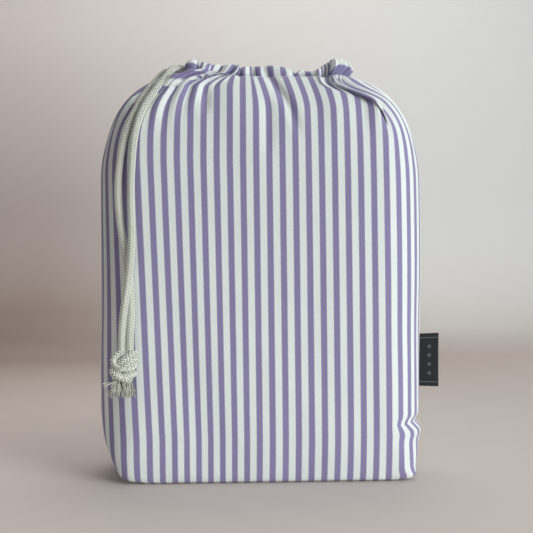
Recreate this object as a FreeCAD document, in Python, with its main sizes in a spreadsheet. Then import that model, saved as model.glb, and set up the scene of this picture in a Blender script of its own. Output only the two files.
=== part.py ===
import FreeCAD, Part
import Sketcher
import os
import re
from math import cos, pi, radians, tan

# Drawstring laundry bag, filled and standing. Millimetres, +Z up, front towards -Y.
# The origin is on the floor, in the middle of the base.

Vector = FreeCAD.Vector
Rotation = FreeCAD.Rotation
Placement = FreeCAD.Placement

sizes = [
    ("bag_width", 300, "side seam to side seam, at half height"),
    ("bag_depth", 106, "front to back, at half height"),
    ("body_height", 373, "floor to the seam under the casing"),
    ("base_width", 264, "width of the flat base"),
    ("base_depth", 88, "depth of the flat base"),
    ("heel_height", 70, "height over which the base widens into the body"),
    ("shoulder_height", 100, "height over which the body narrows to the neck"),
    ("neck_width", 150, "gathered width under the casing"),
    ("neck_depth", 30, "gathered depth under the casing"),
    ("corner_roundness", 0.84, "corner radius over half the depth"),
    ("panel_wall", 2, "wall of a panel, with the folds of its cloth"),
    ("seam_allowance", 10, "width of a seam allowance inside the bag"),
    ("seam_wall", 1.6, "thickness of the two layers of an allowance"),
    ("seam_ends", 24, "where the side allowances stop, from floor and from neck"),
    ("seam_corner_gap", 14, "how far the bottom allowance stops short of the base's ends"),
    ("fill_drop", 5, "top of the laundry under the casing seam"),
    ("casing_height", 11, "height of the turned hem that holds the cord"),
    ("casing_depth", 28, "casing, front to back over both sides of the mouth"),
    ("casing_band", 8, "thickness of the casing with the cord in it"),
    ("casing_exit", 70, "where the cord leaves the casing, from the middle"),
    ("casing_bend", 60, "centre of the casing's round end, from the middle"),
    ("cord_diameter", 6, "braided drawstring"),
    ("cord_clearance", 0.4, "gap round the cord in the casing"),
    ("cord_stored", 30, "cord inside the casing that can be pulled out"),
    ("tack_wall", 1.8, "bar tack that closes the mouth between the cord exits"),
    ("stitch_width", 0.8, "height of the thread line on the casing"),
    ("stitch_relief", 0.5, "how far the thread stands out"),
    ("stitch_inset", 1.6, "thread line above the casing's lower edge"),
    ("moving_gap", 0.3, "clearance between pieces that move apart"),
    ("knot_width", 24, "overhand knot"),
    ("knot_depth", 13, "overhand knot"),
    ("knot_height", 27, "overhand knot"),
    ("knot_round", 2, "rounding of the knot"),
    ("fray_height", 15, "loose fibres under the knot"),
    ("fray_radius", 5.4, "spread of one frayed end"),
    ("fray_spacing", 11, "between the two frayed ends"),
    ("label_height", 48, "folded ribbon label"),
    ("label_reach", 19, "how far the label stands out of the side seam"),
    ("label_layer", 0.7, "one layer of the ribbon"),
    ("label_slit", 0.2, "gap between the two layers"),
    ("label_bottom", 78, "lower edge of the label above the floor"),
]

# Hand-laid routes of the two free ends, from where the neck leaves the casing.
neckFrontRoute = [(-89, -15.5, 376), (-98.5, -29, 367), (-104.5, -43.5, 347)]
neckRearRoute = [(-90.5, 4.5, 378.5), (-103, -8, 375), (-111.5, -22.5, 363.3), (-117.5, -36.8, 345.5)]
tailFrontRoute = [(-104.5, -43.5, 347), (-109.5, -52.5, 323), (-113.3, -58.8, 293), (-116, -60, 257),
                  (-115, -60.4, 221), (-116.5, -63.6, 190), (-121.5, -62.6, 160),
                  (-124, -60.5, 138), (-124, -60.5, 122)]
tailRearRoute = [(-117.5, -36.8, 345.5), (-123.5, -46.5, 323), (-127.2, -53, 297), (-128.5, -55, 265),
                 (-126.5, -55.4, 234), (-121.5, -56.4, 206), (-117, -56.4, 178),
                 (-115.8, -58.8, 152), (-117, -60.5, 136), (-117, -60.5, 122)]

doc = FreeCAD.newDocument("LaundryBag")
sheet = doc.addObject("Spreadsheet::Sheet", "Sizes")
for row, (name, value, note) in enumerate(sizes, start=1):
    sheet.set(f"A{row}", name)
    sheet.set(f"B{row}", str(value))
    sheet.setAlias(f"B{row}", name)
    sheet.set(f"C{row}", note)
doc.recompute()

nodes = []


def expression(text):
    """Put the sheet's name before every alias in a formula."""
    aliases = "|".join(name for name, _, _ in sizes)
    return re.sub(rf"\b({aliases})\b", r"Sizes.\1", text)


def value(text):
    result = sheet.evalExpression(expression(text))
    return float(getattr(result, "Value", result))


def bind(thing, **formulas):
    for prop, formula in formulas.items():
        thing.setExpression(prop.replace("__", "."), expression(formula))
    return thing


def place(thing, x="0", y="0", z="0", turn=None):
    if turn:
        thing.Placement = Placement(Vector(), Rotation(*turn))
    return bind(thing, Placement__Base__x=x, Placement__Base__y=y, Placement__Base__z=z)


def node(thing, label):
    thing.Label = label
    nodes.append(thing)
    return thing


def box(name, length, width, height, x, y, z):
    thing = doc.addObject("Part::Box", name)
    bind(thing, Length=length, Width=width, Height=height)
    return place(thing, x, y, z)


def cylinder(name, radius, height, x, y, z, turn=None):
    thing = doc.addObject("Part::Cylinder", name)
    bind(thing, Radius=radius, Height=height)
    return place(thing, x, y, z, turn)


def combine(kind, name, *things):
    thing = doc.addObject("Part::" + kind, name)
    if kind in ("Cut", "Common"):
        thing.Base, thing.Tool = things
    else:
        thing.Shapes = list(things)
    return thing


# Body of the bag: rounded sections from the base up to the gathered neck.

def stations():
    """Height, width and depth of each section, as formulas."""
    rows = []
    for angle in (0, 40, 90):
        rise = f"(1 - cos({angle} deg))"
        out = f"sin({angle} deg)"
        rows.append((f"heel_height * {rise}",
                     f"base_width + (bag_width - base_width) * {out}",
                     f"base_depth + (bag_depth - base_depth) * {out}"))
    for angle in (0, 24, 46, 66, 90):
        lean = f"(1 - cos({angle} deg))"
        rows.append((f"body_height - shoulder_height * (1 - sin({angle} deg))",
                     f"bag_width - (bag_width - neck_width) * {lean}",
                     f"bag_depth - (bag_depth - neck_depth) * {lean}"))
    return rows


def roundedSection(body, name, height, width, depth):
    sketch = body.newObject("Sketcher::SketchObject", name)
    plane = [f for f in body.Origin.OriginFeatures if f.Role == "XY_Plane"][0]
    sketch.AttachmentSupport = [(plane, "")]
    sketch.MapMode = "FlatFace"
    bind(sketch, AttachmentOffset__Base__z=height)
    radius = f"({depth}) / 2 * corner_roundness"
    x = value(width) / 2
    y = value(depth) / 2
    r = value(radius)
    corners = [(x - r, y - r, 0), (r - x, y - r, 90), (r - x, r - y, 180), (x - r, r - y, 270)]
    for cx, cy, start in corners:
        circle = Part.Circle(Vector(cx, cy), Vector(0, 0, 1), r)
        sketch.addGeometry(Part.ArcOfCircle(circle, radians(start), radians(start + 90)))
    ends = [(x - r, y, r - x, y), (-x, y - r, -x, r - y), (r - x, -y, x - r, -y), (x, r - y, x, y - r)]
    for x0, y0, x1, y1 in ends:
        sketch.addGeometry(Part.LineSegment(Vector(x0, y0), Vector(x1, y1)))

    def add(*terms):
        return sketch.addConstraint(Sketcher.Constraint(*terms))

    for arc in range(4):
        add("Tangent", arc, 2, arc + 4, 1)
        add("Tangent", arc + 4, 2, (arc + 1) % 4, 1)
    for arc in range(1, 4):
        add("Equal", 0, arc)
    for line, way in ((4, "Horizontal"), (5, "Vertical"), (6, "Horizontal"), (7, "Vertical")):
        add(way, line)
    add("Symmetric", 4, 2, 6, 2, -1, 1)
    corner = add("Radius", 0, r)
    across = add("DistanceX", 5, 1, 7, 2, 2 * x)
    along = add("DistanceY", 6, 1, 4, 1, 2 * y)
    sketch.setExpression(f"Constraints[{corner}]", expression(radius))
    sketch.setExpression(f"Constraints[{across}]", expression(width))
    sketch.setExpression(f"Constraints[{along}]", expression(depth))
    return sketch


def loft(name, wall):
    """Loft through the stations, drawn in by a wall on every side but the top."""
    body = doc.addObject("PartDesign::Body", name)
    rows = stations()
    rows[0] = (wall,) + rows[0][1:]
    sketches = []
    for number, (height, width, depth) in enumerate(rows):
        label = f"{name}Section{number}"
        sketches.append(roundedSection(body, label, height, f"{width} - 2 * {wall}", f"{depth} - 2 * {wall}"))
    feature = body.newObject("PartDesign::AdditiveLoft", name + "Loft")
    feature.Profile = sketches[0]
    feature.Sections = sketches[1:]
    feature.Ruled = True
    doc.recompute()
    return body


outer = loft("outerForm", "0")
inner = loft("innerForm", "panel_wall")


def makePanels():
    shell = combine("Cut", "shell", outer, inner)
    half = box("frontHalf", "bag_width", "bag_depth", "body_height",
               "-bag_width / 2", "-bag_depth", "panel_wall")
    node(combine("Common", "frontPanel", shell, half), "front_panel")
    node(combine("Cut", "backPanel", shell, half), "back_panel")


def makeSeams():
    """Allowances turned inside the bag, trimmed to the inside of the panels."""
    rise = "body_height - 2 * seam_ends"
    reach = "panel_wall + seam_allowance"
    left = box("leftStrip", reach, "seam_wall", rise, "-bag_width / 2", "-seam_wall / 2", "seam_ends")
    right = box("rightStrip", reach, "seam_wall", rise,
                f"bag_width / 2 - ({reach})", "-seam_wall / 2", "seam_ends")
    low = box("bottomStrip", "base_width - 2 * seam_corner_gap", "bag_depth / 2", "seam_allowance",
              "seam_corner_gap - base_width / 2",
              "panel_wall + seam_wall - base_depth / 2 - bag_depth / 2", "panel_wall")
    node(combine("Common", "leftSeam", inner, left), "left_seam")
    node(combine("Common", "rightSeam", inner, right), "right_seam")
    node(combine("Common", "bottomSeam", inner, low), "bottom_seam")
    return combine("MultiFuse", "seamStrips", left, right, low)


def makeLaundry(strips):
    block = box("laundryBlock", "bag_width", "bag_depth", "body_height - fill_drop",
                "-bag_width / 2", "-bag_depth / 2", "0")
    filling = combine("Common", "filling", inner, block)
    node(combine("Cut", "laundry", filling, strips), "laundry_fill")


# Casing: two bands side by side, joined by a round bend at the right.

cordLine = "(casing_depth - casing_band) / 2"
cordHeight = "(body_height + casing_height / 2)"
alongX = (Vector(0, 1, 0), 90)


def bendForm(name, halfDepth, height, bottom):
    """A bar with one round end, centred on the mouth."""
    bar = box(name + "Bar", "casing_exit + casing_bend", f"2 * ({halfDepth})", height,
              "-casing_exit", f"-({halfDepth})", bottom)
    end = cylinder(name + "End", halfDepth, height, "casing_bend", "0", bottom)
    return combine("MultiFuse", name, bar, end)


def cordForm(name, radius, start):
    """A U of round section along the middle of the casing, open at the left."""
    pieces = []
    for side, sign in (("Front", "-"), ("Rear", "")):
        pieces.append(cylinder(name + side, radius, f"casing_bend - ({start})", start,
                               f"{sign}{cordLine}", cordHeight, alongX))
    bend = doc.addObject("Part::Torus", name + "Bend")
    bend.Placement = Placement(Vector(), Rotation(Vector(0, 0, 1), -90))
    bind(bend, Radius1=cordLine, Radius2=radius)
    bend.Angle3 = 180
    place(bend, "casing_bend", "0", cordHeight, (Vector(0, 0, 1), -90))
    return combine("MultiFuse", name, *pieces, bend)


def makeCasing():
    band = bendForm("bandOutside", "casing_depth / 2", "casing_height", "body_height")
    mouth = bendForm("bandInside", "casing_depth / 2 - casing_band", "casing_height", "body_height")
    tunnel = cordForm("tunnel", "cord_diameter / 2 + cord_clearance", "-casing_exit")
    hollow = combine("MultiFuse", "casingHollow", mouth, tunnel)
    ring = combine("Cut", "casingRing", band, hollow)
    half = box("casingFrontHalf", "bag_width", "casing_depth", "casing_height",
               "-bag_width / 2", "-casing_depth", "body_height")
    node(combine("Common", "casingFront", ring, half), "casing_front")
    node(combine("Cut", "casingBack", ring, half), "casing_back")


def makeCasingStitching():
    level = "body_height + stitch_inset"
    wide = bendForm("threadOutside", "casing_depth / 2 + stitch_relief", "stitch_width", level)
    narrow = bendForm("threadInside", "casing_depth / 2", "stitch_width", level)
    node(combine("Cut", "casingStitching", wide, narrow), "casing_stitching")


def makeExitTack():
    inside = "casing_depth - 2 * casing_band"
    node(box("exitTack", "tack_wall", inside, "casing_height",
             "-casing_exit", f"-({inside}) / 2", "body_height"), "exit_bar_tack")


def makeDrawstringLoop():
    node(cordForm("loop", "cord_diameter / 2", "cord_stored - casing_exit"), "drawstring_loop")


# The free ends of the drawstring: straight runs joined by tangent arcs.

def routeWire(name, points):
    """Each arc's radius is 0.45 of its shorter run over the tangent of half the turn."""
    points = [Vector(*point) for point in points]
    edges = []
    radii = []
    start = points[0]
    for before, corner, after in zip(points, points[1:], points[2:]):
        back = before - corner
        ahead = after - corner
        reach = 0.45 * min(back.Length, ahead.Length)
        turn = (corner - before).getAngle(ahead)
        radii.append(reach / tan(turn / 2))
        back.normalize()
        ahead.normalize()
        middle = back + ahead
        middle.normalize()
        depth = radii[-1] * (1 / cos(turn / 2) - 1)
        first = corner + back * reach
        last = corner + ahead * reach
        edges.append(Part.LineSegment(start, first).toShape())
        edges.append(Part.Arc(first, corner + middle * depth, last).toShape())
        start = last
    edges.append(Part.LineSegment(start, points[-1]).toShape())
    print(name, "radii", [round(radius, 1) for radius in radii])
    path = doc.addObject("Part::Feature", name + "Path")
    path.Shape = Part.Wire(edges)
    return path


def cordTube(name, points):
    path = routeWire(name, points)
    section = doc.addObject("Part::Circle", name + "Section")
    bind(section, Radius="cord_diameter / 2")
    heading = Vector(*points[1]) - Vector(*points[0])
    section.Placement = Placement(Vector(*points[0]), Rotation(Vector(0, 0, 1), heading))
    tube = doc.addObject("Part::Sweep", name + "Tube")
    tube.Sections = [section]
    tube.Spine = (path, [f"Edge{n + 1}" for n in range(len(path.Shape.Edges))])
    tube.Solid = True
    tube.Frenet = False
    doc.recompute()
    share = tube.Shape.Volume / (path.Shape.Length * section.Shape.Length ** 2 / (4 * pi))
    print(name, "length", round(path.Shape.Length, 1), "volume over section times length", round(share, 4))
    return tube


def makeNeck(name, label, side, route):
    """From inside the casing to the shoulder, stopping short of the ball of the free end."""
    lane = value(f"{side}{cordLine}")
    level = value(cordHeight)
    stored = (value("cord_stored - casing_exit - moving_gap"), lane, level)
    mouth = (value("-casing_exit - cord_diameter"), lane, level)
    last = Vector(*route[-1])
    back = Vector(*route[-2]) - last
    back.normalize()
    stop = last + back * value("cord_diameter / 2 + moving_gap")
    node(cordTube(name, [stored, mouth] + route[:-1] + [tuple(stop)]), label)


def makeTail(name, label, route):
    tube = cordTube(name, route)
    ball = doc.addObject("Part::Sphere", name + "Ball")
    bind(ball, Radius="cord_diameter / 2")
    ball.Placement = Placement(Vector(*route[0]), Rotation())
    node(combine("MultiFuse", name, tube, ball), label)


def makeKnot():
    frontEnd = tailFrontRoute[-1]
    rearEnd = tailRearRoute[-1]
    middle = (frontEnd[0] + rearEnd[0]) / 2
    block = box("knotBlock", "knot_width", "knot_depth", "knot_height", f"{middle} - knot_width / 2",
                f"{frontEnd[1]} - knot_depth / 2", f"{frontEnd[2]} - knot_height")
    doc.recompute()
    knot = doc.addObject("Part::Fillet", "knot")
    knot.Base = block
    rounding = value("knot_round")
    knot.Edges = [(edge + 1, rounding, rounding) for edge in range(len(block.Shape.Edges))]
    node(knot, "cord_knot")
    for side, sign, label in (("Front", "-", "frayed_end_front"), ("Rear", "+", "frayed_end_rear")):
        fray = doc.addObject("Part::Cone", "fray" + side)
        bind(fray, Radius1="fray_radius", Radius2="cord_diameter / 2", Height="fray_height")
        place(fray, f"{middle} - fray_spacing / 4 {sign} fray_spacing / 2", f"{frontEnd[1]}",
              f"{frontEnd[2]} - knot_height - fray_height")
        node(fray, label)


def makeLabel():
    """A ribbon folded in two, standing out of the right side seam."""
    thick = "(2 * label_layer + label_slit)"
    root = f"bag_width / 2 + {thick} / 2 + moving_gap"
    layers = box("labelLayers", f"label_reach - {thick} / 2", thick, "label_height",
                 root, f"-{thick} / 2", "label_bottom")
    fold = cylinder("labelFold", f"{thick} / 2", "label_height",
                    f"{root} + label_reach - {thick} / 2", "0", "label_bottom")
    slit = box("labelSlit", f"label_reach - {thick} / 2", "label_slit", "label_height",
               root, "-label_slit / 2", "label_bottom")
    ribbon = combine("MultiFuse", "labelRibbon", layers, fold)
    node(combine("Cut", "label", ribbon, slit), "side_label")


makePanels()
makeLaundry(makeSeams())
makeCasing()
makeCasingStitching()
makeExitTack()
makeDrawstringLoop()
makeNeck("neckFront", "cord_neck_front", "-", neckFrontRoute)
makeNeck("neckRear", "cord_neck_rear", "", neckRearRoute)
makeTail("tailFront", "cord_tail_front", tailFrontRoute)
makeTail("tailRear", "cord_tail_rear", tailRearRoute)
makeKnot()
makeLabel()
doc.recompute()

for thing in doc.Objects:
    if {"Invalid", "Error"} & set(thing.State):
        raise SystemExit(f"{thing.Name} failed: {thing.State}")
for thing in nodes:
    if thing.Shape.isNull() or not thing.Shape.isValid() or not thing.Shape.Solids:
        raise SystemExit(f"{thing.Label} has no valid solid")

os.makedirs("parts", exist_ok=True)
for thing in nodes:
    thing.Shape.exportStep(f"parts/{thing.Label}.step")
    size = thing.Shape.BoundBox
    print(f"{thing.Label}: {len(thing.Shape.Solids)} solid, {thing.Shape.Volume:.0f} mm3,",
          f"x {size.XMin:.1f} {size.XMax:.1f}  y {size.YMin:.1f} {size.YMax:.1f}  z {size.ZMin:.1f} {size.ZMax:.1f}")
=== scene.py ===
import math
import random

import bmesh
import bpy
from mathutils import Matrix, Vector, kdtree, noise


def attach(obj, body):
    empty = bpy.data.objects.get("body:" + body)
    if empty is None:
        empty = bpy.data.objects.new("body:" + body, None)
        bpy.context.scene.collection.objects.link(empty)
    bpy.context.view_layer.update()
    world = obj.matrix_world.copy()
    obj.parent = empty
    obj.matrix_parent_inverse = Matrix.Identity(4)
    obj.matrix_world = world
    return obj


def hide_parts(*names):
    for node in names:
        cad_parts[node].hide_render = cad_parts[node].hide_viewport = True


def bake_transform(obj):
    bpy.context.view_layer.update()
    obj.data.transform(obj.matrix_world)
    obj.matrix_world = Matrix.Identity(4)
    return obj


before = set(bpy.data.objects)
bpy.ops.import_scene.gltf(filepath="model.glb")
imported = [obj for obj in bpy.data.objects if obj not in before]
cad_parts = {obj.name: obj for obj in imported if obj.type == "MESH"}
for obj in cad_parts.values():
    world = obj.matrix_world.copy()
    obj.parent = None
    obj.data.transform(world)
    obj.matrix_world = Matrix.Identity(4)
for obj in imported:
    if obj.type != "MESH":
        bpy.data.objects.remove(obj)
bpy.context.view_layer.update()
mm = 0.001


def smooth(low, high, value):
    share = min(max((value - low) / (high - low), 0.0), 1.0)
    return share * share * (3 - 2 * share)


def mix(first, second, share):
    return first + (second - first) * share


def bump(value, middle, width):
    return math.exp(-((value - middle) / width) ** 2)


def newPiece(name, form, body, material, replaced):
    # without a body the piece, which spans a joint, is left unattached
    mesh = bpy.data.meshes.new(name)
    form.to_mesh(mesh)
    form.free()
    for face in mesh.polygons:
        face.use_smooth = True
    piece = bpy.data.objects.new(name, mesh)
    bpy.context.scene.collection.objects.link(piece)
    mesh.materials.append(material)
    if body:
        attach(piece, body)
    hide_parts(*replaced)
    return piece


def thicken(piece, thickness):
    wall = piece.modifiers.new("wall", "SOLIDIFY")
    wall.thickness = thickness
    wall.offset = -1


studio = {
    "cameraPlace": (-0.028, -0.709, 0.197),
    "turn": 2.65,  # degrees to the right
    "tilt": 0.21,  # degrees down
    "lens": 50,
    "sensor": 36,
    "nearEdge": -9,  # the backdrop's front edge, its length and its width
    "length": 14,
    "width": 30,
    "bendStart": 1.25,  # where the floor begins to rise into the wall
    "bendRadius": 0.35,
    # painted light and shade: the backdrop's colours are graded from left to right and from the near floor
    # back to the wall, to give the room's uneven light
    "floorLeft": (0.72, 0.64, 0.60),
    "floorRight": (0.54, 0.50, 0.47),
    "footLeft": (0.36, 0.285, 0.25),  # the far floor is darker and warmer
    "footRight": (0.52, 0.455, 0.42),
    "wallLeft": (0.79, 0.735, 0.71),
    "wallRight": (0.80, 0.815, 0.79),
    "leftFade": (1.5, 2.5),  # distances back and up, over which foot turns to wall
    "rightFade": (0.87, 1.95),
    "footFade": (0.25, 0.8),
    "wallAcross": (-0.6, 0.55),  # distances over which left turns to right
    "floorAcross": (-0.35, 0.4),
    "lamps": {  # place, size, power and colour, then aim and spread
        "window": ((1.5, -1.2, 0.6), 1.1, 35, (0.95, 0.985, 1)),
        "fill": ((-0.2, -1.8, 0.3), 1.3, 1.0, (1, 0.98, 0.96)),
        "lowBounce": ((-0.05, -1.35, 0.1), 0.5, 0.34, (1, 0.98, 0.97), (0, 0, -0.2), 42),
        "overhead": ((0.45, 0.0, 1.9), 1.6, 8, (1, 0.97, 0.94)),
        "wallWash": ((0, 0.75, 2.0), 1.4, 12, (1, 0.96, 0.93), (0, 1.6, 0.3)),
    },
    "roomColour": (0.95, 0.96, 1),
    "roomLight": 0.17,
}


def makeCamera():
    data = bpy.data.cameras.new("camera")
    data.lens = studio["lens"]
    data.sensor_width = studio["sensor"]
    camera = bpy.data.objects.new("camera", data)
    camera.location = studio["cameraPlace"]
    camera.rotation_euler = (math.radians(90 - studio["tilt"]), 0, -math.radians(studio["turn"]))
    bpy.context.scene.collection.objects.link(camera)
    bpy.context.scene.camera = camera


def link(tree, source, sink):
    tree.links.new(source, sink)


def mathNode(tree, operation, *terms):
    node = tree.nodes.new("ShaderNodeMath")
    node.operation = operation
    for number, term in enumerate(terms):
        if isinstance(term, (int, float)):
            node.inputs[number].default_value = term
        else:
            link(tree, term, node.inputs[number])
    return node.outputs[0]


def noiseNode(tree, vector, scale, detail=2.0, stretch=None):
    if stretch:
        mapping = tree.nodes.new("ShaderNodeMapping")
        mapping.inputs["Scale"].default_value = stretch
        link(tree, vector, mapping.inputs["Vector"])
        vector = mapping.outputs[0]
    node = tree.nodes.new("ShaderNodeTexNoise")
    node.inputs["Scale"].default_value = scale
    node.inputs["Detail"].default_value = detail
    link(tree, vector, node.inputs["Vector"])
    return node.outputs[0]


def rangeNode(tree, value, low, high, first=0.0, last=1.0):
    node = tree.nodes.new("ShaderNodeMapRange")
    for name, number in (("From Min", low), ("From Max", high), ("To Min", first), ("To Max", last)):
        node.inputs[name].default_value = number
    link(tree, value, node.inputs["Value"])
    return node.outputs[0]


def colourMix(tree, share, first, second, blend="MIX"):
    node = tree.nodes.new("ShaderNodeMix")
    node.data_type = "RGBA"
    node.blend_type = blend
    for socket, term in ((0, share), (6, first), (7, second)):
        if isinstance(term, tuple):
            node.inputs[socket].default_value = (*term, 1)
        elif isinstance(term, (int, float)):
            node.inputs[socket].default_value = term
        else:
            link(tree, term, node.inputs[socket])
    return node.outputs[2]


def reliefNode(tree, height, strength, distance):
    node = tree.nodes.new("ShaderNodeBump")
    node.inputs["Strength"].default_value = strength
    node.inputs["Distance"].default_value = distance
    link(tree, height, node.inputs["Height"])
    return node.outputs[0]


def startMaterial(name, roughness, sheen=0.0, specular=0.3):
    material = bpy.data.materials.new(name)
    material.use_nodes = True
    tree = material.node_tree
    shader = tree.nodes["Principled BSDF"]
    shader.inputs["Roughness"].default_value = roughness
    shader.inputs["Sheen Weight"].default_value = sheen
    shader.inputs["Specular IOR Level"].default_value = specular
    return material, tree, shader


def uvCoordinates(tree, layer):
    # on "cloth", across and along it in metres; on "strand", how far out and how far along
    uv = tree.nodes.new("ShaderNodeUVMap")
    uv.uv_map = layer
    split = tree.nodes.new("ShaderNodeSeparateXYZ")
    link(tree, uv.outputs[0], split.inputs[0])
    return uv.outputs[0], split.outputs[0], split.outputs[1]


def objectCoordinates(tree):
    place = tree.nodes.new("ShaderNodeTexCoord")
    split = tree.nodes.new("ShaderNodeSeparateXYZ")
    link(tree, place.outputs["Object"], split.inputs[0])
    return place.outputs["Object"], split.outputs[0], split.outputs[1], split.outputs[2]


def backdropMaterial():
    material, tree, shader = startMaterial("paleBackdrop", 0.9)
    x, y, z = objectCoordinates(tree)[1:]
    away = mathNode(tree, "ADD", y, z)  # grows along the floor and up the wall
    # painted light and shade: these colours grade the floor, the far floor and the wall
    left = colourMix(tree, rangeNode(tree, away, *studio["leftFade"]), studio["footLeft"], studio["wallLeft"])
    rising = rangeNode(tree, away, *studio["rightFade"])
    right = colourMix(tree, rising, studio["footRight"], studio["wallRight"])
    wall = colourMix(tree, rangeNode(tree, x, *studio["wallAcross"]), left, right)
    across = rangeNode(tree, x, *studio["floorAcross"])
    floor = colourMix(tree, across, studio["floorLeft"], studio["floorRight"])
    colour = colourMix(tree, rangeNode(tree, away, *studio["footFade"]), floor, wall)
    link(tree, colour, shader.inputs["Base Color"])
    return material


def makeStage():
    form = bmesh.new()
    bmesh.ops.create_grid(form, x_segments=1, y_segments=280, size=0.5)
    start, radius = studio["bendStart"], studio["bendRadius"]
    for vert in form.verts:
        along = (vert.co.y + 0.5) * studio["length"] + studio["nearEdge"]
        turn = min(max((along - start) / radius, 0), math.pi / 2)
        vert.co.x *= studio["width"]
        vert.co.y = min(along, start) + radius * math.sin(turn)
        vert.co.z = radius * (1 - math.cos(turn)) + max(along - start - radius * math.pi / 2, 0)
    mesh = bpy.data.meshes.new("backdrop")
    form.to_mesh(mesh)
    form.free()
    for face in mesh.polygons:
        face.use_smooth = True
    backdrop = bpy.data.objects.new("backdrop", mesh)
    mesh.materials.append(backdropMaterial())
    bpy.context.scene.collection.objects.link(backdrop)


def makeLight(name, place, size, power, colour, aim=(0, 0, 0.2), spread=180):
    data = bpy.data.lights.new(name, "AREA")
    data.shape = "RECTANGLE"
    data.size = data.size_y = size
    data.energy = power
    data.color = colour
    data.spread = math.radians(spread)
    light = bpy.data.objects.new(name, data)
    light.location = place
    heading = Vector(aim) - Vector(place)
    light.rotation_euler = heading.to_track_quat("-Z", "Y").to_euler()
    bpy.context.scene.collection.objects.link(light)


def makeLights():
    for name, settings in studio["lamps"].items():
        makeLight(name, *settings)
    world = bpy.data.worlds.new("room")
    world.use_nodes = True
    background = world.node_tree.nodes["Background"]
    background.inputs[0].default_value = (*studio["roomColour"], 1)
    background.inputs[1].default_value = studio["roomLight"]
    bpy.context.scene.world = world
    bpy.context.scene.view_settings.view_transform = "Standard"


makeCamera()
makeStage()
makeLights()
print("camera, backdrop and lights placed")

ticking = {
    "pitch": 11.65 * mm,
    "offset": -1.0 * mm,  # the middle of the front lies a little off a stripe's edge
    "purpleShare": 0.475,
    "edge": 0.035,
    "purple": (0.236, 0.208, 0.372),
    "white": (0.71, 0.765, 0.74),
    "threads": 0.42 * mm,
    "slub": 0.24,  # how much the yarn, the weave and washing change the shade
    "weave": 0.05,
    "fade": 0.1,
}
colours = {
    "cordShade": (0.66, 0.69, 0.60),
    "cordPale": (0.93, 0.96, 0.86),
    # painted shade, put in the hollows between the braid's strands
    "cordHollowShade": (0.12, 0.125, 0.095),
    "threadShade": (0.42, 0.40, 0.47),
    "threadPale": (0.74, 0.74, 0.76),
    "linenShade": (0.60, 0.585, 0.55),
    "linenPale": (0.76, 0.75, 0.72),
}


def tickingMaterial(name, useObject=False):
    material, tree, shader = startMaterial(name, 0.86, 0.18, 0.25)
    place, across, along = (objectCoordinates(tree) if useObject else uvCoordinates(tree, "cloth"))[:3]
    wobble = mathNode(tree, "MULTIPLY", mathNode(tree, "SUBTRACT", noiseNode(tree, place, 900), 0.5), 0.05)
    turned = mathNode(tree, "DIVIDE", mathNode(tree, "SUBTRACT", across, ticking["offset"]), ticking["pitch"])
    phase = mathNode(tree, "FRACT", mathNode(tree, "ADD", turned, wobble))
    ramp = mathNode(tree, "ABSOLUTE", mathNode(tree, "SUBTRACT", phase, 0.5))
    half = ticking["purpleShare"] / 2
    stripe = rangeNode(tree, ramp, half - ticking["edge"], half + ticking["edge"], 1, 0)
    turns = 2 * math.pi / ticking["threads"]
    warp = mathNode(tree, "SINE", mathNode(tree, "MULTIPLY", across, turns))
    weft = mathNode(tree, "SINE", mathNode(tree, "MULTIPLY", along, turns))
    weave = mathNode(tree, "MULTIPLY", warp, weft)
    slub = noiseNode(tree, place, 1, 3, (2600, 320, 1))  # uneven yarn, long down the cloth
    fade = noiseNode(tree, place, 14)  # soft wash marks
    colour = colourMix(tree, stripe, ticking["white"], ticking["purple"])
    grain = mathNode(tree, "MULTIPLY", mathNode(tree, "SUBTRACT", slub, 0.5), ticking["slub"])
    grain = mathNode(tree, "ADD", grain, mathNode(tree, "MULTIPLY", weave, ticking["weave"]))
    washed = mathNode(tree, "MULTIPLY", mathNode(tree, "SUBTRACT", fade, 0.5), ticking["fade"])
    grain = mathNode(tree, "ADD", grain, washed)
    shade = mathNode(tree, "ADD", grain, 1.0)
    link(tree, colourMix(tree, 1, colour, shade, "MULTIPLY"), shader.inputs["Base Color"])
    height = mathNode(tree, "ADD", weave, mathNode(tree, "MULTIPLY", slub, 1.6))
    link(tree, reliefNode(tree, height, 0.35, 0.1 * mm), shader.inputs["Normal"])
    return material


def cordMaterial():
    material, tree, shader = startMaterial("braidedCotton", 0.9, 0.2, 0.2)
    place = objectCoordinates(tree)[0]
    fibre = noiseNode(tree, place, 1500, 4)
    worn = colourMix(tree, rangeNode(tree, fibre, 0.3, 0.65), colours["cordShade"], colours["cordPale"])
    # painted shade: the strands' sides and the hollows between them are painted dark, and their tops keep the
    # cord's own colour
    top = uvCoordinates(tree, "strand")[1]
    colour = colourMix(tree, rangeNode(tree, top, 0.5, 0.93), colours["cordHollowShade"], worn)
    link(tree, colour, shader.inputs["Base Color"])
    link(tree, reliefNode(tree, fibre, 0.4, 0.2 * mm), shader.inputs["Normal"])
    return material


def threadMaterial():
    material, tree, shader = startMaterial("sewingThread", 0.6, 0.1, 0.35)
    place = objectCoordinates(tree)[0]
    ply = noiseNode(tree, place, 2400)
    colour = colourMix(tree, rangeNode(tree, ply, 0.35, 0.65), colours["threadShade"], colours["threadPale"])
    link(tree, colour, shader.inputs["Base Color"])
    link(tree, reliefNode(tree, ply, 0.3, 0.1 * mm), shader.inputs["Normal"])
    return material


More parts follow.
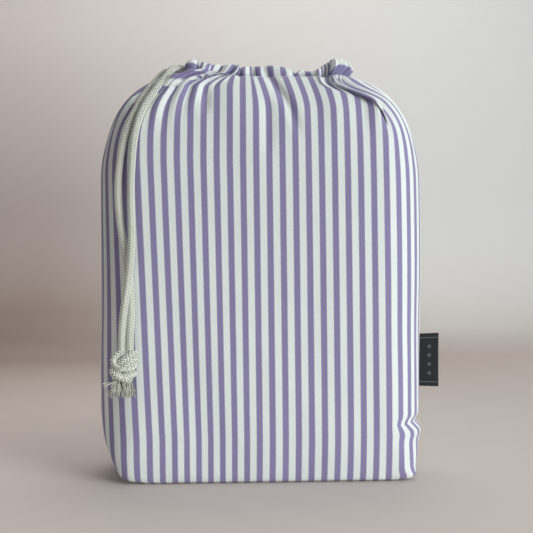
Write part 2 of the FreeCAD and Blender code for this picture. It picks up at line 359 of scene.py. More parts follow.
def linenMaterial():
    material, tree, shader = startMaterial("washedLinen", 0.92, 0.15, 0.2)
    place = objectCoordinates(tree)[0]
    slub = noiseNode(tree, place, 1, 3, (1400, 1400, 260))
    weave = noiseNode(tree, place, 2200, 1)
    colour = colourMix(tree, rangeNode(tree, slub, 0.3, 0.7), colours["linenShade"], colours["linenPale"])
    link(tree, colour, shader.inputs["Base Color"])
    height = mathNode(tree, "ADD", slub, weave)
    link(tree, reliefNode(tree, height, 0.5, 0.2 * mm), shader.inputs["Normal"])
    return material


tickingCloth = tickingMaterial("stripedTicking")
innerTicking = tickingMaterial("stripedTickingInside", True)
cottonCord = cordMaterial()
sewingThread = threadMaterial()
washedLinen = linenMaterial()
print("materials made")


def wrapTube(form, centres, sides, lifts, radii, corners, squash=1.0):
    # a grid wrapped round a row of centres, its long edges welded and its ends drawn shut
    centres = [centres[0], *centres, centres[-1]]
    sides = [sides[0], *sides, sides[-1]]
    lifts = [lifts[0], *lifts, lifts[-1]]
    radii = [0.001 * mm, *radii, 0.001 * mm]
    last = len(centres) - 1
    before = set(form.verts)
    bmesh.ops.create_grid(form, x_segments=corners, y_segments=last, size=0.5)
    fresh = [vert for vert in form.verts if vert not in before]
    uvLayer = form.loops.layers.uv.get("strand") or form.loops.layers.uv.new("strand")
    for vert in fresh:
        row = round((vert.co.y + 0.5) * last)
        angle = 2 * math.pi * (round((vert.co.x + 0.5) * corners) % corners) / corners
        away = sides[row] * math.cos(angle) + lifts[row] * math.sin(angle) * squash
        vert.co = centres[row] + away * radii[row]
        top = 0.5 + 0.5 * math.cos(angle)  # how far towards the outside of a braid
        for loop in vert.link_loops:
            loop[uvLayer].uv = (top, row)
    bmesh.ops.remove_doubles(form, verts=fresh, dist=0.02 * mm)


cord = {
    "diameter": 6 * mm,
    "strands": 6,  # each way round
    "strandRadius": 0.8 * mm,
    "lay": 15 * mm,
    "over": 0.6 * mm,  # how far a strand rises where it passes over two others
    "step": 0.5 * mm,
    "groove": 12 * mm,  # how far from the cord the cloth is pressed in
    "pressFrom": -82 * mm,  # only left of here
    "squeezed": 4.8 * mm,  # the gathers press the cord thinner inside the casing
    "loopRoute": [(-44, -9.8, 378), (-30, -9, 377.6), (-8, -8, 376.6), (10, -8, 375.4), (52, -8, 375.4),
                  (64, -8, 377.5), (71, -4.5, 378), (71, 4.5, 378), (64, 8, 377.8), (10, 8.5, 377.3),
                  (-30, 9.5, 378), (-44, 9.8, 378)],
    "frontRoute": [(-40.3, -10, 378.3), (-73, -10, 378.5), (-81.5, -18, 380.5), (-88, -28.5, 368.5),
                   (-97.5, -39, 352.5), (-107.5, -47.5, 335), (-114, -55, 311), (-115.8, -59.8, 279),
                   (-116.3, -60.5, 250), (-115, -61, 221), (-116.5, -64, 190), (-121.5, -63, 160),
                   (-124, -61, 138), (-124, -60.5, 121)],
    "rearRoute": [(-40.3, 10, 378.3), (-73, 10, 378.5), (-84, 3, 381.5), (-91, -10, 377), (-98.5, -24, 364.5),
                  (-108.5, -37, 347), (-116.5, -45, 329), (-123.3, -50.5, 309), (-127, -54, 284),
                  (-128.3, -56.3, 260), (-126.5, -56, 234), (-121.5, -57, 206), (-117, -57, 178),
                  (-115.8, -59, 152), (-117, -60.5, 136), (-117, -60.5, 121)],
}


def routeLine(points):
    # points along the smooth curve that a route's points control
    data = bpy.data.curves.new("route", "CURVE")
    data.dimensions = "3D"
    data.resolution_u = 16
    spline = data.splines.new("NURBS")
    spline.points.add(len(points) - 1)
    for point, place in zip(spline.points, points):
        point.co = (place[0] * mm, place[1] * mm, place[2] * mm, 1)
    spline.order_u = 3
    spline.use_endpoint_u = True
    holder = bpy.data.objects.new("route", data)
    mesh = bpy.data.meshes.new_from_object(holder)
    line = [vert.co.copy() for vert in mesh.vertices]
    bpy.data.objects.remove(holder)
    bpy.data.curves.remove(data)
    bpy.data.meshes.remove(mesh)
    return evenly(line, cord["step"])


def evenly(line, step):
    # the same line in equal steps
    lengths = [0.0]
    for first, second in zip(line, line[1:]):
        lengths.append(lengths[-1] + (second - first).length)
    count = max(round(lengths[-1] / step), 2)
    out, index = [], 0
    for number in range(count + 1):
        goal = lengths[-1] * number / count
        while index < len(line) - 2 and lengths[index + 1] < goal:
            index += 1
        span = max(lengths[index + 1] - lengths[index], 1e-9)
        out.append(line[index].lerp(line[index + 1], (goal - lengths[index]) / span))
    return out


def untwisted(line):
    # the line's points, each with a side and a lift that don't spin round it
    side = None
    rows = []
    for number, point in enumerate(line):
        heading = (line[min(number + 1, len(line) - 1)] - line[max(number - 1, 0)]).normalized()
        if side is None:
            side = heading.orthogonal().normalized()
        side = (side - heading * side.dot(heading)).normalized()
        rows.append((point, side, heading.cross(side)))
    return rows


def braid(form, line, radius):
    # strands wind both ways round a core, each over two and under two
    rows = untwisted(line)
    points, allSides, allLifts = zip(*rows)
    inner = radius - 0.6 * cord["strandRadius"] - 0.5 * cord["over"]
    wrapTube(form, points, allSides, allLifts, [0.8 * inner] * len(rows), 8)
    count = cord["strands"]
    for way in (1, -1):
        for strand in range(count):
            centres, sides, lifts = [], [], []
            for number, (point, side, lift) in enumerate(rows):
                wind = 2 * math.pi * number * cord["step"] / cord["lay"]
                turn = way * wind + 2 * math.pi * strand / count
                offset = math.pi * strand + math.pi / 4
                over = math.cos(count * wind / 2 + (offset if way > 0 else -offset - math.pi))
                away = side * math.cos(turn) + lift * math.sin(turn)
                centres.append(point + away * (inner + cord["over"] * over))
                sides.append(away)
            for number in range(len(centres)):
                ahead = centres[min(number + 1, len(centres) - 1)] - centres[max(number - 1, 0)]
                lifts.append(ahead.normalized().cross(sides[number]).normalized())
            wrapTube(form, centres, sides, lifts, [cord["strandRadius"]] * len(rows), 5, 1.15)


knot = {
    "diameter": 5.5 * mm,
    "upperBand": [(-128, -58, 110), (-127, -64.5, 110), (-121, -67.2, 114), (-115.3, -66.2, 118.5),
                  (-111.8, -62, 119.5), (-113.3, -57.5, 116), (-118, -57, 112)],
    "lowerBand": [(-129, -59.5, 104.5), (-126, -65.5, 105), (-120.5, -67.6, 108.8), (-114.6, -66, 113),
                  (-111.9, -61.5, 112.5), (-113.8, -57.5, 108), (-119, -57, 105)],
    "leftLoop": [(-120, -60, 117.5), (-123.5, -63.5, 119), (-128, -64.5, 118.2), (-130.9, -64, 113.8),
                 (-129, -64.8, 109.6), (-123.5, -66.6, 107), (-117, -65.8, 106), (-113.2, -61, 107.5),
                 (-114.5, -57.5, 110)],
    "wrap": [(-112.8, -59, 101.5), (-115.5, -64, 101), (-121.5, -66.4, 99.3), (-128.5, -64.8, 100.3),
             (-132.2, -60.5, 103.5), (-129, -57.5, 106.5), (-122, -57, 106)],
    "lowWrap": [(-130, -58, 107), (-132.3, -63, 105), (-128, -66.6, 101), (-121, -66.3, 97.6),
                (-116.6, -62, 96.6), (-117.5, -58, 98)],
    "frontCore": [(-124, -60.5, 124), (-124.5, -60, 116), (-126, -60, 106), (-128, -60.5, 95)],
    "rearCore": [(-117, -60.5, 124), (-117.5, -60, 116), (-118, -60, 106), (-119, -60.5, 95)],
}
knotParts = ("upperBand", "lowerBand", "leftLoop", "wrap", "lowWrap", "frontCore", "rearCore")
frontLine = routeLine(cord["frontRoute"])
rearLine = routeLine(cord["rearRoute"])
knotLines = [routeLine(knot[part]) for part in knotParts]
drawnLines = (frontLine, rearLine, *knotLines)
outside = [point for line in drawnLines for point in line if point.x < cord["pressFrom"]]
cordTree = kdtree.KDTree(len(outside))
for number, point in enumerate(outside):
    cordTree.insert(point, number)
cordTree.balance()


def makeCord(name, lines, diameter, body, replaced):
    form = bmesh.new()
    for line in lines:
        braid(form, line, diameter / 2)
    return newPiece(name, form, body, cottonCord, replaced)


cordFront = makeCord("cordFront", [frontLine], cord["diameter"], None, ["cord_neck_front", "cord_tail_front"])
cordRear = makeCord("cordRear", [rearLine], cord["diameter"], None, ["cord_neck_rear", "cord_tail_rear"])
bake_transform(cordFront)
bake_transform(cordRear)
cordKnot = makeCord("cordKnot", knotLines, knot["diameter"], "free_ends", ["cord_knot"])
makeCord("cordLoop", [routeLine(cord["loopRoute"])], cord["squeezed"], "drawstring", ["drawstring_loop"])
print("cords braided and knotted")

fray = {
    "yarns": 54,  # at each cord's end
    "yarnRadius": 0.66 * mm,
    "length": 17 * mm,
    "bundle": 3.0 * mm,
    "spread": 0.176,
    "flare": 1.2 * mm,
    "curl": 1.3 * mm,
    "strays": 8,
    "strayLength": 10.54 * mm,
    "points": 8,
    "frontRoot": (-127.5, -60.5, 98.5),
    "rearRoot": (-119.5, -60.5, 98.5),
    "strayRoot": (-128.5, -62, 96),
}


def makeFrays():
    draw = random.Random(11)
    form = bmesh.new()
    tufts = [("frontRoot", Vector((-0.12, 0, -1)), fray["yarns"], fray["length"]),
             ("rearRoot", Vector((0.10, 0, -1)), fray["yarns"], fray["length"]),
             ("strayRoot", Vector((-0.95, -0.1, -0.45)), fray["strays"], fray["strayLength"])]
    for root, heading, count, length in tufts:
        for number in range(count):
            angle = 2 * math.pi * number / count + draw.uniform(-0.3, 0.3)
            out = math.sqrt((number + 0.5) / count)
            away = Vector((math.cos(angle), math.sin(angle), 0)) * out
            start = Vector(fray[root]) * mm + away * fray["bundle"]
            reach = length * draw.uniform(0.72, 1.05)
            curl = Vector((draw.uniform(-1, 1), draw.uniform(-1, 1), draw.uniform(-0.3, 0.3))) * fray["curl"]
            spread = (heading + away * fray["spread"]).normalized()
            line, radii = [], []
            for step in range(fray["points"]):
                share = step / (fray["points"] - 1)
                bow = curl * math.sin(share * math.pi * 1.4) + away * fray["flare"] * share * share
                line.append(start + spread * reach * share + bow)
                radii.append(fray["yarnRadius"] * mix(1, 0.75, share))
            points, sides, lifts = zip(*untwisted(line))
            wrapTube(form, points, sides, lifts, radii, 5)
    return form


frayedEnds = newPiece("frayedEnds", makeFrays(), "free_ends", cottonCord,
                      ["frayed_end_front", "frayed_end_rear"])
print("cord ends frayed")

bag = {
    "halfWidth": 150 * mm,
    "baseLeft": 110 * mm,  # half widths on the floor, where the corners run in
    "baseRight": 127 * mm,
    "halfDepth": 53 * mm,
    "baseHalfDepth": 45 * mm,
    "heel": 70 * mm,  # the height over which the base widens into the body
    "shoulderFoot": 273 * mm,
    "shoulderRun": 125 * mm,  # cloth between the shoulder's foot and the mouth
    "neck": 373 * mm,
    "neckHalfWidth": 75 * mm,
    "neckHalfDepth": 15 * mm,
    "roundness": 0.84,
    "baseCorner": 6 * mm,
    "halfCloth": 184 * mm,  # from the middle of a panel to its side seam
    "flatLeft": 17 * mm,  # cloth that reaches the mouth ungathered
    "flatRight": 56 * mm,
    "baseDrawn": 60 * mm,  # cloth near each side seam that takes up the narrower base
    "foldColumn": 113 * mm,  # where the deep side folds turn under
    "foldRight": 11 * mm,
    "foldLeft": 7 * mm,
    "foldLift": 4.4 * mm,
    "tipOut": 4.5 * mm,  # the sewn corner tips
    "tipHeight": 4 * mm,
    "rollOut": 2.2 * mm,  # the low roll on the right, and the pinch over it
    "rollHeight": 43 * mm,
    "pinchIn": 4.5 * mm,
    "pinchHeight": 52 * mm,
    # dents in the front: depth, middle, width, and the heights between which each deepens
    "columnDents": [(3.0, -52, 4, 322, 348), (1.8, 92, 6, 305, 340)],
    "mouthDents": [(4.4, -21, 2.6, 362, 375), (4.6, -10, 4.8, 368, 376)],
    "pleatWave": 15 * mm,
    "pleatSize": 4.0 * mm,
    "crown": 2.5 * mm,
    "wrinkle": 1.5 * mm,
    "cloth": 0.7 * mm,
    "floorGap": 0.8 * mm,
    "rows": 170,
    "lowRows": 0.5,  # the share of them below the shoulder
}


def leanAt(height):
    rise = min((height - bag["shoulderFoot"]) / (bag["neck"] - bag["shoulderFoot"]), 1)
    return 1 - math.sqrt(max(1 - rise * rise, 0))


def sectionAt(height):
    # left, right, half depth and corner radius at a height
    if height >= bag["shoulderFoot"]:
        lean = leanAt(height)
        half = mix(bag["halfWidth"], bag["neckHalfWidth"], lean)
        depth = mix(bag["halfDepth"], bag["neckHalfDepth"], lean)
        return half, half, depth, bag["roundness"] * depth
    share = min(height / bag["heel"], 1)
    out = math.sqrt(1 - (1 - share) ** 2)
    left = mix(bag["baseLeft"], bag["halfWidth"], out)
    right = mix(bag["baseRight"], bag["halfWidth"], out)
    depth = mix(bag["baseHalfDepth"], bag["halfDepth"], out)
    corner = mix(bag["baseCorner"], bag["roundness"] * depth, smooth(0, 1, share ** 0.6))
    return left, right, depth, corner


def sideLength(extent, depth, corner):
    return extent - corner + math.pi / 2 * corner + depth - corner


def outlinePoint(arc, extent, depth, corner):
    # x, y and outward normal at an arc length from the middle of the front towards a side
    flat = extent - corner
    if arc <= flat:
        return arc, -depth, 0.0, -1.0
    angle = (arc - flat) / corner
    if angle <= math.pi / 2:
        across, back = math.sin(angle), math.cos(angle)
        return flat + corner * across, corner - depth - corner * back, across, -back
    return extent, corner - depth + arc - flat - math.pi / 2 * corner, 1.0, 0.0


def drawIn(column, flat, length):
    # cloth nearer than flat keeps its place and the rest is drawn into the room that is left
    if column <= flat:
        return column, 1.0
    spare = bag["halfCloth"] - flat
    tight = min((length - flat) / spare, 1)
    least = 0.7 * tight
    power = (1 - least) / max(tight - least, 0.001) - 1
    share = (column - flat) / spare
    room = least * share + (1 - least) / (power + 1) * (1 - (1 - share) ** (power + 1))
    return flat + spare * room, least + (1 - least) * (1 - share) ** power


def gatherFront(column, side, height, extent, length):
    # arc position, tightness and lift of a cloth column, with one deep fold on each shoulder
    if height < bag["shoulderFoot"]:
        return drawIn(column, length - bag["baseDrawn"], length)[0], 1.0, 0.0
    # goal is where the fold's edge runs, and flat is the cloth that keeps its place
    lean = leanAt(height)
    if side > 0:
        goal = mix(extent - 30 * mm, 62 * mm, smooth(0.345, 0.366, height))
        flat = min(mix(125 * mm, bag["flatRight"], lean ** 0.6), goal - 6 * mm)
    else:
        goal = extent - mix(31 * mm, 23 * mm, smooth(0.350, 0.373, height))
        flat = mix(130 * mm, bag["flatLeft"], lean ** 0.32)
    formed = smooth(0.292, 0.362, height)
    fold = bag["foldRight" if side > 0 else "foldLeft"] * smooth(0.316, 0.362, height)
    crease = bag["foldColumn"]
    place, slope = drawIn(column, flat, length)
    creasePlace = drawIn(crease, flat, length)[0]
    edge = mix(creasePlace, goal, formed)
    turn = edge + fold
    lift = bag["foldLift"] * smooth(0.312, 0.366, height)
    if column <= crease:
        if creasePlace > flat and column > flat:
            place = flat + (place - flat) * (turn - flat) / (creasePlace - flat)
        return place, slope, 0.0
    if column <= crease + fold:
        share = (column - crease) / max(fold, 0.01 * mm)
        return mix(turn, edge, share), slope, lift * share
    share = (column - crease - fold) / (bag["halfCloth"] - crease - fold)
    return mix(edge, length, share), slope, lift * (1 - smooth(0.1, 0.95, share))


def gatherBack(column, side, height, extent, length):
    if height < bag["shoulderFoot"]:
        return column * length / bag["halfCloth"], 1.0, 0.0
    flat = mix(120 * mm, 8 * mm, leanAt(height) ** 0.4)
    place, slope = drawIn(column, flat, length)
    return place, slope, 0.0


def pleat(across, slope, seed):
    # how far a gathered column stands out, and how far it leans along the outline
    wave = bag["pleatWave"]
    phase = across / wave + 0.5 * math.sin(across / (31 * mm) + seed)
    phase += 0.25 * math.sin(across / (13 * mm) + 2 * seed)
    size = min(wave / 4 * math.sqrt(max(1 - slope * slope, 0)), bag["pleatSize"])
    size *= 1 - smooth(bag["halfCloth"] - 9 * mm, bag["halfCloth"], abs(across))
    return size * math.sin(2 * math.pi * phase), 0.35 * size * math.cos(2 * math.pi * phase)


def settle(across, height):
    # how far the front's columns wander sideways
    low = min(max((0.29 - height) / 0.25, 0), 1)
    side = 1 - smooth(130 * mm, bag["halfCloth"], abs(across))
    shift = low * side * mix(3.2 * mm, 11 * mm, smooth(0, 120 * mm, -across))
    left = smooth(17 * mm, 55 * mm, -across) * (1 - smooth(60 * mm, 116 * mm, -across))
    shift += 19 * mm * left * smooth(0.357, 0.381, height)
    middle = smooth(-16 * mm, 4 * mm, across) * (1 - smooth(58 * mm, 100 * mm, across))
    return shift - 9 * mm * middle * smooth(0.335, 0.384, height)


def dent(place, height, depth, middle, width, low, high):
    return depth * mm * bump(place, middle * mm, width * mm) * smooth(low * mm, high * mm, height)


def softFolds(across, height, x):
    # shallow folds that run down from the gathered mouth, and the slack lower down
    high = smooth(0.288, 0.350, height)
    out = 2.9 * mm * noise.noise(Vector((across * 42, height * 5, 7.7))) * high
    slant = mix(31 * mm, 13 * mm, (height - 0.315) / 0.057)
    out -= 3.2 * mm * bump(across, slant, 4.5 * mm) * smooth(0.30, 0.345, height)
    out -= dent(across, height, 1.7, 4, 5, 285, 312) * (1 - smooth(0.335, 0.352, height))
    out -= sum(dent(across, height, *shape) for shape in bag["columnDents"])
    out -= sum(dent(x, height, *shape) for shape in bag["mouthDents"])
    out += bag["wrinkle"] * noise.noise(Vector((across * 15, height * 8, 1.3))) * smooth(0, 0.03, height)
    out += 0.8 * mm * noise.noise(Vector((across * 38, height * 13, 3.1))) * (1 - smooth(0.05, 0.30, height))
    # the bottom seam shows as a low ridge on the left
    reach = smooth(-105 * mm, -85 * mm, x) * (1 - smooth(-25 * mm, 5 * mm, x))
    return out + 0.9 * mm * bump(height, 11 * mm, 1.6 * mm) * reach


def clothPoint(across, height, facing, relief=1.0):
    # where a cloth column lies at a height, and which way is out
    left, right, depth, corner = sectionAt(height)
    side = 1 if across >= 0 else -1
    extent = right if side > 0 else left
    length = sideLength(extent, depth, corner)
    gather, seed = (gatherFront, 1.3) if facing < 0 else (gatherBack, 4.1)
    arc, slope, lift = gather(abs(across), side, height, extent, length)
    out, slide = pleat(across, slope, seed)
    if facing < 0:
        # the outer layer of the right fold lies smooth
        calm = 1 - 0.75 * smooth(112 * mm, 126 * mm, across)
        out, slide = out * calm, slide * calm
    drawn = smooth(0.29, 0.35, height)
    arc += slide * drawn
    placed = side * arc + (settle(across, height) if facing < 0 else 0)
    side = 1 if placed >= 0 else -1
    extent = right if side > 0 else left
    length = sideLength(extent, depth, corner)
    x, y, nx, ny = outlinePoint(min(abs(placed), length), extent, depth, corner)
    seamShare = 1 - smooth(bag["halfCloth"] - 9 * mm, bag["halfCloth"], abs(across))
    out = out * drawn + lift
    if facing < 0:
        out += softFolds(across, height, side * x) * seamShare
    else:
        slack = noise.noise(Vector((across * 15, height * 9, 4.1)))
        out += 1.8 * mm * slack * seamShare * smooth(0, 0.03, height)
    # the sides bulge at the corner tips and at the roll, and run in at the pinch
    bulge = bag["tipOut"] * bump(height, bag["tipHeight"], 5 * mm)
    if side > 0:
        bulge += bag["rollOut"] * bump(height, bag["rollHeight"], 5 * mm)
        bulge -= bag["pinchIn"] * bump(height, bag["pinchHeight"], 4 * mm)
    x += bulge * smooth(112 * mm, 138 * mm, x)
    crown = max(0, 1 - (x / (140 * mm)) ** 2) * smooth(0, 0.12, height) * (1 - smooth(0.27, 0.36, height))
    out = (out + bag["crown"] * crown) * relief
    place = Vector((side * (x + nx * out), (y + ny * out) * -facing, height))
    return place, Vector((side * nx, ny * -facing, 0))


def pressed(place, outward):
    # cloth gives way under the cords, in a soft groove
    spot, _, distance = cordTree.find(place)
    if distance > cord["groove"]:
        return place
    away = place - spot
    height = away.dot(outward)
    beside = (away - outward * height).length
    reach = cord["diameter"] / 2 + 0.7 * mm
    if beside < 0.9 * reach:
        limit = -math.sqrt(reach * reach - beside * beside)
    else:
        limit = -0.436 * reach + 1.1 * (beside - 0.9 * reach)
    return place - outward * max(height - limit, 0)


def gridCloth(form, columns, rows, placeAt):
    # a grid of cloth laid by a function of its two shares, with the cloth's own coordinates
    before = set(form.verts)
    bmesh.ops.create_grid(form, x_segments=columns, y_segments=rows, size=0.5)
    uvLayer = form.loops.layers.uv.get("cloth") or form.loops.layers.uv.new("cloth")
    fresh = [vert for vert in form.verts if vert not in before]
    flat = {}
    for vert in fresh:
        place, across, along = placeAt(vert.co.x + 0.5, vert.co.y + 0.5)
        vert.co = place
        flat[vert] = (across, along)
    for face in form.faces:
        if face.verts[0] in flat:
            for loop in face.loops:
                loop[uvLayer].uv = flat[loop.vert]
    return fresh


def makePanel(facing, columns):
    form = bmesh.new()
    lowShare = bag["lowRows"]

    def placeAt(u, v):
        across = mix(-bag["halfCloth"], bag["halfCloth"], u)
        if v < lowShare:
            height = run = bag["shoulderFoot"] * v / lowShare
        else:
            angle = (v - lowShare) / (1 - lowShare) * math.pi / 2
            height = mix(bag["shoulderFoot"], bag["neck"], math.sin(angle))
            run = bag["shoulderFoot"] + bag["shoulderRun"] * angle / (math.pi / 2)
        place = pressed(*clothPoint(across, height, facing))
        place.z = max(place.z, bag["floorGap"])
        return place, across, run

    def baseAt(u, v):
        across = mix(-bag["halfCloth"], bag["halfCloth"], u)
        front, rear = clothPoint(across, 0, -1)[0], clothPoint(across, 0, 1)[0]
        place = rear.lerp(front, v)
        place.z = bag["floorGap"]
        return place, across, -v * 2 * bag["baseHalfDepth"]

    gridCloth(form, columns, bag["rows"], placeAt)
    if facing > 0:
        gridCloth(form, columns, 24, baseAt)
        bmesh.ops.remove_doubles(form, verts=form.verts, dist=0.01 * mm)
        bmesh.ops.recalc_face_normals(form, faces=form.faces)
    return form


front = newPiece("frontPanel", makePanel(-1, 250), "bag", tickingCloth, ["front_panel"])
back = newPiece("backPanel", makePanel(1, 190), "bag", tickingCloth, ["back_panel"])
print("panels shaped")

seam = {
    "low": 24 * mm,
    "high": 320 * mm,
    "behind": 2.2 * mm,  # from the outside of the bag to the allowance's outer edge
    "width": 8 * mm,
    "thickness": 1.4 * mm,
}


def makeSeam(side):
    # the joined edges of both cloths, turned inwards
    form = bmesh.new()

    def placeAt(u, v):
        height = mix(seam["low"], seam["high"], v)
        inward = seam["behind"] + u * seam["width"]
        place = clothPoint(side * bag["halfCloth"], height, 1)[0]
        place.x -= side * inward
        return place, side * (bag["halfCloth"] + inward), height

    gridCloth(form, 4, 90, placeAt)
    return form


for name, side, node in (("leftSeam", -1, "left_seam"), ("rightSeam", 1, "right_seam")):
    allowance = newPiece(name, makeSeam(side), "bag", tickingCloth, [node])
    thicken(allowance, seam["thickness"])
print("side seams turned in")

casing = {
    "bulge": 2.3 * mm,
    "reach": 6.0 * mm,  # half the tube's width, front to back
    "rise": 5.6 * mm,  # half the tube's height
    "startAngle": -62,  # degrees, at the stitched crease
    "endAngle": 243,
    "openSeam": 164 * mm,  # the tube stops here at the left, short of the side seam
    "around": 34 * mm,
    "lean": 8 * mm,  # the tube is twisted at the left, so its stripes slant
    "hang": 17 * mm,  # the left end's lower edge hangs down the shoulder
    "earSpread": 7 * mm,  # the right end curls out past the mouth
    "leftBand": -108.6 * mm,  # the stripes that run along the twisted ends
    "rightBand": 104.8 * mm,
    "flushBulge": 4.2 * mm,  # where the tube's front lies flush with the panel
    # rises and dips of the rim: height, middle and width; the last two are the gathered ends
    "rim": [(-2.2, -20, 4), (-1.8, -54, 6), (-2.6, 31, 2.6), (1.6, 37, 3), (6.2, 67, 10), (3.2, -64, 10)],
}


def rimLift(x):
    # the rim's height varies, lowest right of the middle
    low = -4.6 * mm * smooth(12 * mm, 33 * mm, x) * (1 - smooth(50 * mm, 60 * mm, x))
    return low + sum(lift * mm * bump(x, middle * mm, width * mm) for lift, middle, width in casing["rim"])


def makeCasing(facing, columns):
    form = bmesh.new()

    def placeAt(u, v):
        across = mix(-casing["openSeam"], bag["halfCloth"], u)
        angle = mix(casing["startAngle"], casing["endAngle"], v)
        turn = math.radians(angle)
        up = casing["rise"] * (1 + math.sin(turn)) - 0.6 * mm
        relief = 1 - 0.6 * smooth(60, 190, angle)  # the inner wall carries the pleats, but shallower
        share = up / (2 * casing["rise"])
        hang = casing["hang"] * smooth(52 * mm, 100 * mm, -across) * (1 - smooth(122 * mm, 146 * mm, -across))
        hang *= (1 - smooth(0, 0.8, share)) * (1 - smooth(40, 120, angle)) if facing < 0 else 0
        place, outward = clothPoint(across, bag["neck"] + up - hang, facing, relief)
        ripple = 0.9 * mm * noise.noise(Vector((across * 60, share * 2, facing * 3)))
        flush = smooth(-8 * mm, 0, place.x) * (1 - smooth(24 * mm, 32 * mm, place.x))
        bulge = mix(casing["bulge"], casing["flushBulge"], flush)
        tuck = 1 - 0.85 * flush if angle < 0 else 1
        place += outward * (bulge - casing["reach"] * (1 - math.cos(turn)) * tuck + ripple)
        leftEnd = smooth(48 * mm, 60 * mm, -place.x)
        rightEnd = smooth(53 * mm, 67 * mm, place.x)
        ear = rimLift(place.x) * (1 if facing < 0 else 0.6)
        place.x += share * casing["lean"] * smooth(18 * mm, 34 * mm, -place.x) * (1 - leftEnd)
        place.x += smooth(0, 0.6, share) * casing["earSpread"] * smooth(54 * mm, 75 * mm, place.x)
        place += outward * 1.6 * mm * (leftEnd + rightEnd) * math.sin(math.pi * min(share, 1))
        calm = 1 - 0.7 * max(leftEnd, rightEnd)
        crest = 1.3 * mm * noise.noise(Vector((across * 50, 3, facing * 2))) * calm
        place.z += (ear + crest) * smooth(0, 1, share) - 1.2 * mm * flush * (1 - share)
        if angle < 60:
            place = pressed(place, outward)
        column = mix(across, casing["leftBand"] + 1.25 * v * casing["around"], leftEnd)
        column = mix(column, casing["rightBand"] + 0.9 * v * casing["around"], rightEnd)
        return place, column, bag["shoulderFoot"] + bag["shoulderRun"] + v * casing["around"]

    gridCloth(form, columns, 24, placeAt)
    return form


casingFront = newPiece("casingFront", makeCasing(-1, 300), "bag", tickingCloth, ["casing_front"])
casingBack = newPiece("casingBack", makeCasing(1, 260), "bag", tickingCloth, ["casing_back"])
for piece in (front, back, casingFront, casingBack):
    thicken(piece, bag["cloth"])
print("casing shaped")

sewing = {
    "thread": 0.3 * mm,
    "stitch": 2.3 * mm,
    "spacing": 3.6 * mm,
    "line": 371.2 * mm,  # the height of the casing's row
    "tacks": 13,
    "tackHalfWidth": 5.6 * mm,
}


def addStitch(form, first, last, outward):
    middle = first.lerp(last, 0.5) + outward * 0.35 * mm
    points, sides, lifts = zip(*untwisted([first, middle, last]))
    wrapTube(form, points, sides, lifts, [sewing["thread"]] * 3, 6)


def makeStitching():
    form = bmesh.new()
    across = -bag["halfCloth"] + 6 * mm
    while across < bag["halfCloth"] - 6 * mm:
        for facing in (-1, 1):
            first, outward = clothPoint(across, sewing["line"], facing)
            last = clothPoint(across + sewing["stitch"], sewing["line"], facing)[0]
            lift = outward * 0.15 * mm
            if (last - first).length > 0.3 * mm:
                addStitch(form, first + lift, last + lift, outward)
        across += sewing["spacing"]
    return form


def makeBarTack():
    form = bmesh.new()
    for number in range(sewing["tacks"]):
        y = mix(-sewing["tackHalfWidth"], sewing["tackHalfWidth"], number / (sewing["tacks"] - 1))
        low = Vector((-70.2 * mm, y, 373.6 * mm))
        high = Vector((-70.2 * mm, y + 0.45 * mm, 382.6 * mm))
        addStitch(form, low, high, Vector((-1, 0, 0)))
    return form


stitching = newPiece("casingStitching", makeStitching(), "bag", sewingThread, ["casing_stitching"])
newPiece("exitBarTack", makeBarTack(), "bag", sewingThread, ["exit_bar_tack"])
print("stitches sewn")

label = {
    "root": 151.3 * mm,
    "reach": 20.6 * mm,
    "bottom": 79 * mm,
    "height": 50.4 * mm,
    "wall": 0.5 * mm,
    "open": 0.75 * mm,  # half the gap at the folded edge
    "rib": 0.5 * mm,
    "thread": 0.34 * mm,
    "cells": 6,  # the motif's pitch, in parts of the height; the middle four hold a lozenge
    "bar": 21 * mm,  # from the middle of the height
    "barHalf": 0.45 * mm,
    "black": (0.012, 0.014, 0.016),
    "pale": (0.085, 0.092, 0.097),
}


def labelMaterial():
    material, tree, shader = startMaterial("wovenLabel", 0.7, 0.08, 0.25)
    across, along = uvCoordinates(tree, "cloth")[1:]
    rib = mathNode(tree, "SINE", mathNode(tree, "MULTIPLY", along, 2 * math.pi / label["rib"]))
    cross = mathNode(tree, "SINE", mathNode(tree, "MULTIPLY", across, 2 * math.pi / label["thread"]))
    weave = mathNode(tree, "MULTIPLY", rib, cross)
    # a plain woven pattern: a row of lozenges between two bars
    cell = mathNode(tree, "FRACT", mathNode(tree, "DIVIDE", along, label["height"] / label["cells"]))
    upward = mathNode(tree, "ABSOLUTE", mathNode(tree, "SUBTRACT", cell, 0.5))
    folded = mathNode(tree, "PINGPONG", across, label["reach"])
    inward = mathNode(tree, "ABSOLUTE", mathNode(tree, "SUBTRACT", folded, 0.55 * label["reach"]))
    lozenge = mathNode(tree, "ADD", upward, mathNode(tree, "DIVIDE", inward, 9 * mm))
    shape = rangeNode(tree, lozenge, 0.24, 0.27, 1, 0)
    middle = mathNode(tree, "ABSOLUTE", mathNode(tree, "SUBTRACT", along, label["height"] / 2))
    row = mathNode(tree, "LESS_THAN", middle, 2 * label["height"] / label["cells"])
    fromBar = mathNode(tree, "ABSOLUTE", mathNode(tree, "SUBTRACT", middle, label["bar"]))
    bars = mathNode(tree, "LESS_THAN", fromBar, label["barHalf"])
    motif = mathNode(tree, "MAXIMUM", mathNode(tree, "MULTIPLY", shape, row), bars)
    colour = colourMix(tree, motif, label["black"], label["pale"])
    shade = mathNode(tree, "ADD", mathNode(tree, "MULTIPLY", weave, 0.18), 1.0)
    link(tree, colourMix(tree, 1, colour, shade, "MULTIPLY"), shader.inputs["Base Color"])
    link(tree, reliefNode(tree, weave, 0.5, 0.15 * mm), shader.inputs["Normal"])
    return material


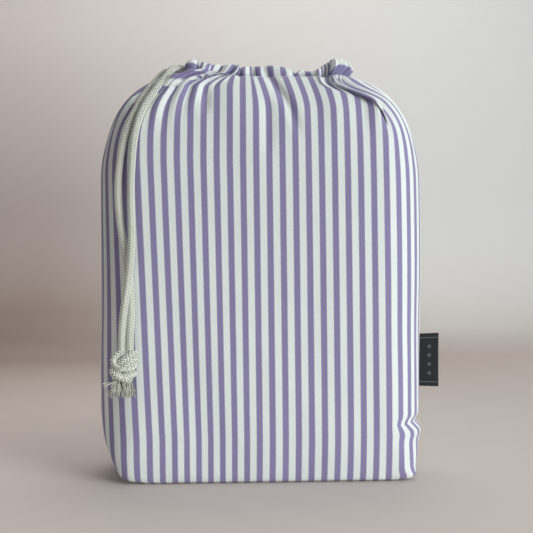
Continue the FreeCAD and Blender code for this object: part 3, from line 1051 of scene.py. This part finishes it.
def makeLabel():
    form = bmesh.new()

    def placeAt(u, v):
        # out along the front leaf, round the fold, and back along the rear leaf
        side = 1 if u < 0.5 else -1
        share = 1 - abs(2 * u - 1)
        fold = math.sqrt(max(1 - smooth(0.9, 1, share) ** 2, 0))
        open = mix(0.32 * mm, label["open"], share) * fold
        height = label["bottom"] + v * label["height"]
        curl = 0.8 * mm * share * math.sin(v * 2.6 + 0.4)
        x = label["root"] + label["reach"] * share
        z = height - 0.7 * mm * share * math.cos(v * math.pi)
        return Vector((x, curl - side * open, z)), u * 2 * label["reach"], v * label["height"]

    gridCloth(form, 48, 24, placeAt)
    return form


sideLabel = newPiece("sideLabel", makeLabel(), "label", labelMaterial(), ["side_label"])
thicken(sideLabel, label["wall"])
print("label folded")

laundryPile = {
    "inset": 9 * mm,  # room between the pile and the cloth, less towards the top
    "topInset": 6 * mm,
    "bottom": 4 * mm,
    "shoulder": 300 * mm,
    "top": 362 * mm,
    "voxel": 6 * mm,
    "pressure": 4,
    "frames": 20,
    "most": 5 * mm,  # how far a point of the pile may swell
    "lumps": 3 * mm,
    "roundness": 0.42,
    "cuts": 30,
}


def laundryForm():
    form = bmesh.new()
    bmesh.ops.create_cube(form, size=2)
    bmesh.ops.subdivide_edges(form, edges=form.edges, cuts=laundryPile["cuts"], use_grid_fill=True)
    for vert in form.verts:
        x, y, z = vert.co
        height = mix(laundryPile["bottom"], laundryPile["top"], (z + 1) / 2)
        left, right, depth = sectionAt(height)[:3]
        narrowed = max(height - laundryPile["shoulder"], 0) / (laundryPile["top"] - laundryPile["shoulder"])
        inset = mix(laundryPile["inset"], laundryPile["topInset"], narrowed)
        extent = (right if x > 0 else left) - inset
        lump = laundryPile["lumps"] * noise.noise(vert.co * 2.1) * smooth(0.02, 0.1, height)
        vert.co.x = x * math.sqrt(1 - laundryPile["roundness"] * y * y) * (extent + lump)
        vert.co.y = y * math.sqrt(1 - laundryPile["roundness"] * x * x) * (depth - inset + lump)
        vert.co.z = height + (2.5 * mm * noise.noise(Vector((x * 4, y * 3, 0))) if z > 0.99 else 0)
    bmesh.ops.recalc_face_normals(form, faces=form.faces)
    return form


def evaluatedMesh(piece):
    graph = bpy.context.evaluated_depsgraph_get()
    return bpy.data.meshes.new_from_object(piece.evaluated_get(graph), depsgraph=graph)


def stuffed(form):
    # the pile swells like pressed laundry, held back so that it stays inside the bag
    mesh = bpy.data.meshes.new("pile")
    form.to_mesh(mesh)
    form.free()
    pile = bpy.data.objects.new("pile", mesh)
    bpy.context.scene.collection.objects.link(pile)
    even = pile.modifiers.new("even", "REMESH")
    even.mode = "VOXEL"
    even.voxel_size = laundryPile["voxel"]
    pile.data = evaluatedMesh(pile)
    pile.modifiers.clear()
    before = [vert.co.copy() for vert in pile.data.vertices]
    cloth = pile.modifiers.new("cloth", "CLOTH")
    cloth.settings.use_pressure = True
    cloth.settings.uniform_pressure_force = laundryPile["pressure"]
    cloth.settings.effector_weights.gravity = 0
    for number in range(1, laundryPile["frames"] + 1):
        bpy.context.scene.frame_set(number)
    after = evaluatedMesh(pile)
    form = bmesh.new()
    form.from_mesh(after)
    form.verts.ensure_lookup_table()
    for vert, start in zip(form.verts, before):
        move = vert.co - start
        if move.length > laundryPile["most"]:
            vert.co = start + move.normalized() * laundryPile["most"]
        vert.co.z = max(vert.co.z, 2.5 * mm)
    bpy.data.objects.remove(pile)
    bpy.context.scene.frame_set(1)
    return form


laundry = newPiece("laundry", stuffed(laundryForm()), "bag", washedLinen, ["laundry_fill"])
print("laundry packed")

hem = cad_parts["bottom_seam"].data
hem.materials.clear()
hem.materials.append(innerTicking)
